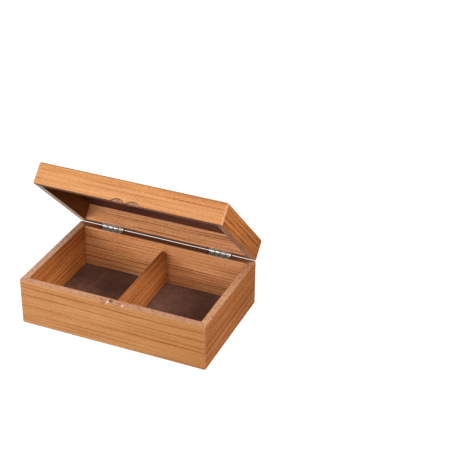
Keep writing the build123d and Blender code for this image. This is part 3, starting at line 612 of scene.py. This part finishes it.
# The tints and tone shifts of these faces are painted light and shade: the fronts darken towards the right, the right
# sides towards the back
OUTSIDE = {
    "base_front": dict(tint=(1.09, 1.21, 1.33), grit=1.35, contrast=0.86, shade=("x", -40.0, 110.0, (0.88, 0.81, 0.71))),
    "lid_front": dict(tint=(0.98, 1.08, 1.16), grit=1.7, contrast=1.12, shade=("x", -60.0, 90.0, (0.94, 0.88, 0.81))),
    "base_right": dict(tint=(0.96, 0.93, 1.00), shade=("y", -20.0, 60.0, (0.92, 0.92, 0.93))),
    "lid_right": dict(tint=(1.14, 1.06, 0.98), shade=("y", -60.0, 60.0, (0.78, 0.75, 0.73))),
    "base_back": dict(), "lid_back": dict(), "base_left": dict(), "lid_left": dict(),
}
for part, lid in (("base", False), ("lid", True)):
    give(f"{part}_front_veneer", veneer(f"veneer_{part}_front", "X", from_top, 88.0, FRONT, lid, 3.0,
                                        drift=(1.2, 0.020), outer="front", **OUTSIDE[part + "_front"]))
    give(f"{part}_right_veneer", veneer(f"veneer_{part}_right", "Y", from_top, 88.0, RIGHT, lid, 19.0,
                                        drift=(-0.4, 0.004), outer="right", warm=0.35, shine=0.20, contrast=1.65,
                                        grit=4.4, **OUTSIDE[part + "_right"]))
    give(f"{part}_back_veneer", veneer(f"veneer_{part}_back", "X", from_top, 88.0, BACK, lid, 37.0,
                                       drift=(-0.8, 0.010), outer="back"))
    give(f"{part}_left_veneer", veneer(f"veneer_{part}_left", "Y", from_top, 88.0, LEFT, lid, 53.0,
                                       drift=(0.6, -0.006), outer="left", warm=0.2))
give("lid_top_veneer", veneer("veneer_lid_top", "X", from_back, 152.4, TOP, True, 71.0,
                              drift=(1.0, 0.0), outer="top", contrast=1.30, grit=1.2, tint=(0.94, 1.00, 0.97)))

# Several tints and tone shifts of the linings and the divider are painted light and shade: the lid's left lining
# darkened, the base's back lining dimmed towards the right, the divider's faces dimmer towards the back
give("base_back_lining", veneer("lining_base_back", "X", from_rim, 60.0, INNER_BACK, False, 83.0, drift=(0.6, 0.01),
                                contrast=1.6, grit=2.0, tint=(1.08, 1.14, 1.33), shade=("x", 40.0, 110.0, (0.92, 0.92, 0.92))))
give("base_left_lining", veneer("lining_base_left", "Y", from_rim, 60.0, INNER_LEFT, False, 97.0, warm=0.5,
                                contrast=2.3, grit=3.2, tint=(1.15, 1.16, 1.0)))
give("base_front_lining", veneer("lining_base_front", "X", from_rim, 60.0, invented(31, 58.0, 4.4), False, 101.0))
give("base_right_lining", veneer("lining_base_right", "Y", from_rim, 60.0, invented(37, 58.0, 4.6), False, 113.0))
give("lid_back_lining", veneer("lining_lid_back", "X", from_panel, 22.0,
                               invented(41, 21.5, 2.2, 0.50), True, 127.0, drift=(0.5, 0.0),
                               contrast=1.4, grit=1.7, tint=(1.22, 1.34, 1.66)))
give("lid_front_lining", veneer("lining_lid_front", "X", from_panel, 22.0, invented(43, 21.5, 2.6), True, 131.0))
give("lid_left_lining", veneer("lining_lid_left", "Y", from_panel, 22.0, invented(47, 21.5, 2.6), True, 137.0,
                               contrast=1.2, grit=1.4, shine=0.15, tint=(0.52, 0.50, 0.36)))
give("lid_right_lining", veneer("lining_lid_right", "Y", from_panel, 22.0, invented(53, 21.5, 2.6), True, 139.0))
DIMMER = ("y", 0.0, 66.0, (0.82, 0.76, 0.60))
give("divider_left_veneer", veneer("divider_left_face", "Y", from_rim, 60.0, invented(59, 58.0, 6.0, 0.34),
                                   False, 149.0, drift=(2.0, 0.0), contrast=1.3, grit=1.6, tint=(0.9, 0.82, 0.75), shade=DIMMER))
give("divider_right_veneer", veneer("divider_right_face", "Y", from_rim, 60.0, invented(61, 58.0, 5.0, 0.42),
                                    False, 151.0, drift=(2.0, 0.0), warm=0.3, contrast=2.8, grit=3.6,
                                    tint=(0.96, 0.90, 0.82), shade=DIMMER))

PINK, TAN = (1.0, 0.94, 1.02), (1.02, 1.06, 0.98)
# Several of the rims' tints and tone shifts are painted light and shade: the back rims dark in the open lid's shade
# and lighter towards their ends, the lid's front rim darkened, the base's side rims darker towards the back
CORES = {
    "base_front": dict(tint=(0.90, 0.80, 0.74)), "base_back": dict(tint=(0.31, 0.17, 0.085), shade=("|x|", 88.0, 108.0, (1.60, 1.75, 1.80))),
    "base_left": dict(tint=(0.93, 0.90, 0.93), grit=2.1, shade=("y", -10.0, 70.0, (0.70, 0.70, 0.72))),
    "base_right": dict(tint=(0.99, 0.88, 0.76), shade=("y", -10.0, 70.0, (0.78, 0.68, 0.60))),
    "lid_front": dict(tint=(0.62, 0.50, 0.44)), "lid_back": dict(tint=(0.30, 0.18, 0.12)),
    "lid_left": dict(tint=(1.42, 1.90, 2.34), grit=0.9), "lid_right": dict(tint=(1.02, 0.92, 0.88)),
}
for part, lid in (("base", False), ("lid", True)):
    for side, along in (("front", "X"), ("back", "X"), ("left", "Y"), ("right", "Y")):
        give(f"{part}_{side}_wall", core(f"core_{part}_{side}", along, lid, len(side) * 7.3 + (40 if lid else 0),
                                         **{"grit": 1.5, **CORES[f"{part}_{side}"]}))
give("lid_top_panel", core("core_lid_panel", "X", True, 61.0, TAN))
# Painted shade: the divider's top darker towards the back
give("divider_core", core("core_divider", "Y", False, 77.0, (0.82, 0.46, 0.24), 0.96,
                          shade=("y", -40.0, 62.0, (0.58, 0.48, 0.34))))
give("base_bottom_panel", board("board_bottom", 5.0))

for hand, seed, start in (("left", 3.0, -73.5 - 14.5), ("right", 17.0, 73.5 - 14.5)):
    give(f"{hand}_hinge_base_leaf", nickel(f"nickel_{hand}_base_leaf", False, seed, rough=0.31, start=start))
    give(f"{hand}_hinge_lid_leaf", nickel(f"nickel_{hand}_lid_leaf", True, seed + 5, rough=0.31, start=start))
    give(f"{hand}_hinge_pin", nickel(f"nickel_{hand}_pin", False, seed + 9, rough=0.18, dull=0.15))
give("base_hinge_screws", nickel("nickel_base_screws", False, 31.0, rough=0.26))
give("lid_hinge_screws", nickel("nickel_lid_screws", True, 37.0, rough=0.26))
give("catch_magnet", nickel("nickel_magnet", False, 43.0, rough=0.26, dull=0.3, base=(0.36, 0.245, 0.175), metal=0.45,
                            glint=(1.4, -70.9)))
give("catch_strike_disc", nickel("nickel_strike_disc", True, 47.0, rough=0.52, base=(0.25, 0.235, 0.22), metal=0.6))


# ---------------------------------------------------------------------------
# Felt liners: cut sheets glued down, with soft edges and a faintly uneven nap
# ---------------------------------------------------------------------------
def liner(name, stands_for, body, x0, x1, y0, y1, glued, nap, seed, tint, shade=None, place=None):
    """A sheet in closed coordinates, in millimetres, from the glued face's height to the nap's."""
    pitch = 1.5
    nx, ny = round((x1 - x0) / pitch), round((y1 - y0) / pitch)
    up = 1.0 if nap > glued else -1.0
    thick = abs(nap - glued)

    def spot(i, j, low):
        x, y = x0 + (x1 - x0) * i / nx, y0 + (y1 - y0) * j / ny
        off = min(x - x0, x1 - x, y - y0, y1 - y)
        # The scissors' line wanders a little, always inwards
        wander = 0.10 + 0.10 * noise.noise(Vector((x / 17.0, y / 17.0, seed)))
        if i in (0, nx):
            x += wander if i == 0 else -wander
        if j in (0, ny):
            y += wander if j == 0 else -wander
        if low:
            z = glued
        else:
            wave = 0.5 + 0.5 * noise.noise(Vector((x / 14.0, y / 14.0, seed + 5)))
            tuft = 0.5 + 0.5 * noise.noise(Vector((x / 2.1, y / 2.1, seed + 9)))
            soft = max(0.0, 1.0 - off / 1.6) ** 2
            z = glued + up * (thick - 0.07 * wave - 0.05 * tuft - 0.26 * soft)
        return Vector((x, y, z)) / 1000.0

    points, faces = [], []
    for low in (False, True):
        for j in range(ny + 1):
            for i in range(nx + 1):
                points.append(spot(i, j, low))
    row, layer = nx + 1, (nx + 1) * (ny + 1)
    for j in range(ny):
        for i in range(nx):
            a = j * row + i
            quad = (a, a + 1, a + row + 1, a + row)
            faces.append(quad)
            faces.append(tuple(p + layer for p in reversed(quad)))
    ring = ([i for i in range(nx)] + [nx + j * row for j in range(ny)]
            + [ny * row + i for i in range(nx, 0, -1)] + [j * row for j in range(ny, 0, -1)])
    for a, b in zip(ring, ring[1:] + ring[:1]):
        faces.append((b, a, a + layer, b + layer))
    if up < 0:
        faces = [tuple(reversed(f)) for f in faces]
    if place is not None:
        points = [place @ p for p in points]
    mesh = bpy.data.meshes.new(name)
    mesh.from_pydata([tuple(p) for p in points], [], faces)
    mesh.validate()
    for p in mesh.polygons:
        p.use_smooth = True
    made = bpy.data.objects.new(name, mesh)
    bpy.context.scene.collection.objects.link(made)
    mesh.materials.append(felt(f"felt_{name}", body == "lid", seed, tint, 0.0 if body == "lid" else 0.22, shade))
    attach(made, body)
    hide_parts(stands_for)
    return made


swing = (Matrix.Translation(PIVOT) @ Matrix.Rotation(-OPEN, 4, "X") @ Matrix.Translation(-PIVOT))
# The felt pieces' tints and tone shifts are painted light and shade: the same felt tinted apart piece by piece, the
# base's left piece darker towards the back and the lid's piece lighter towards the right
liner("felt_left", "left_liner", "base", -111.1, -3.0, -67.3, 67.3, 3.2, 3.8, 1.0, (2.70, 3.15, 2.90),
      ("y", -6.0, 44.0, (0.58, 0.55, 0.54)))
liner("felt_right", "right_liner", "base", 3.0, 111.1, -67.3, 67.3, 3.2, 3.8, 4.0, (1.85, 2.10, 2.05))
liner("felt_lid", "lid_liner", "lid", -111.1, 111.1, -67.3, 67.3, 81.8, 81.2, 7.0, (1.12, 0.84, 0.72),
      ("x", -90.0, 60.0, (1.55, 1.80, 1.75)), swing)


# ---------------------------------------------------------------------------
# Floor, light and camera
# ---------------------------------------------------------------------------
def make_floor():
    side, cells = 9.0, 12
    points = [(side * (i / cells - 0.5), side * (j / cells - 0.5), -0.0002)
              for j in range(cells + 1) for i in range(cells + 1)]
    faces = [(j * (cells + 1) + i, j * (cells + 1) + i + 1, (j + 1) * (cells + 1) + i + 1, (j + 1) * (cells + 1) + i)
             for j in range(cells) for i in range(cells)]
    mesh = bpy.data.meshes.new("floor")
    mesh.from_pydata(points, [], faces)
    floor = bpy.data.objects.new("floor", mesh)
    bpy.context.scene.collection.objects.link(floor)
    g = Graph("floor")
    g.finish((1.0, 1.0, 1.0, 1.0), 0.9)
    g.shader.inputs["Base Color"].default_value = (0.30, 0.30, 0.30, 1.0)
    g.shader.inputs["Specular IOR Level"].default_value = 0.0
    g.shader.inputs["Emission Color"].default_value = (1.0, 1.0, 1.0, 1.0)
    g.shader.inputs["Emission Strength"].default_value = 0.88
    mesh.materials.append(g.material)
    floor.visible_diffuse = False
    floor.visible_glossy = False
    floor.visible_shadow = False
    return floor


def softbox(name, place, aim, width, height, power, colour=(1.0, 1.0, 1.0)):
    data = bpy.data.lights.new(name, "AREA")
    data.shape, data.size, data.size_y = "RECTANGLE", width, height
    data.energy, data.color = power, colour
    lamp = bpy.data.objects.new(name, data)
    lamp.location = place
    lamp.rotation_mode = "QUATERNION"
    lamp.rotation_quaternion = (Vector(aim) - Vector(place)).to_track_quat("-Z", "Y")
    bpy.context.scene.collection.objects.link(lamp)
    return lamp


make_floor()
AIM = (0.0, 0.0, 0.05)


def around(turn, height, away=2.4):
    """A place round the box: degrees to the right of the front, degrees up, metres away."""
    turn, height = math.radians(turn), math.radians(height)
    return (away * math.sin(turn) * math.cos(height), -away * math.cos(turn) * math.cos(height),
            AIM[2] + away * math.sin(height))


softbox("front_left", around(-30, 15), AIM, 1.0, 1.0, 29.0)
softbox("front", around(0, 24), AIM, 1.0, 1.0, 17.0)
softbox("above", around(0, 65), AIM, 1.0, 1.0, 10.0)
softbox("right", around(84, 32), AIM, 1.5, 1.2, 44.0, (1.0, 0.90, 0.78))
softbox("back_left", around(-110, 30), AIM, 1.0, 1.0, 24.0, (1.0, 0.86, 0.72))
softbox("back", around(172, 12), AIM, 1.4, 1.0, 30.0, (1.0, 0.97, 0.93))

world = bpy.data.worlds.new("studio")
world.use_nodes = True
sky = world.node_tree.nodes["Background"]
sky.inputs["Color"].default_value = (1.0, 1.0, 1.0, 1.0)
sky.inputs["Strength"].default_value = 0.02
bpy.context.scene.world = world

lens = bpy.data.cameras.new("camera")
lens.sensor_width, lens.lens = 36.0, 101.1751
lens.clip_start, lens.clip_end = 0.05, 30.0
camera = bpy.data.objects.new("camera", lens)
camera.location = (0.58765, -1.14215, 0.87958)
camera.rotation_mode = "XYZ"
camera.rotation_euler = (1.037140, -0.010908, 0.401342)
bpy.context.scene.collection.objects.link(camera)
bpy.context.scene.camera = camera

bpy.context.scene.view_settings.view_transform = "Standard"
bpy.context.scene.view_settings.look = "None"
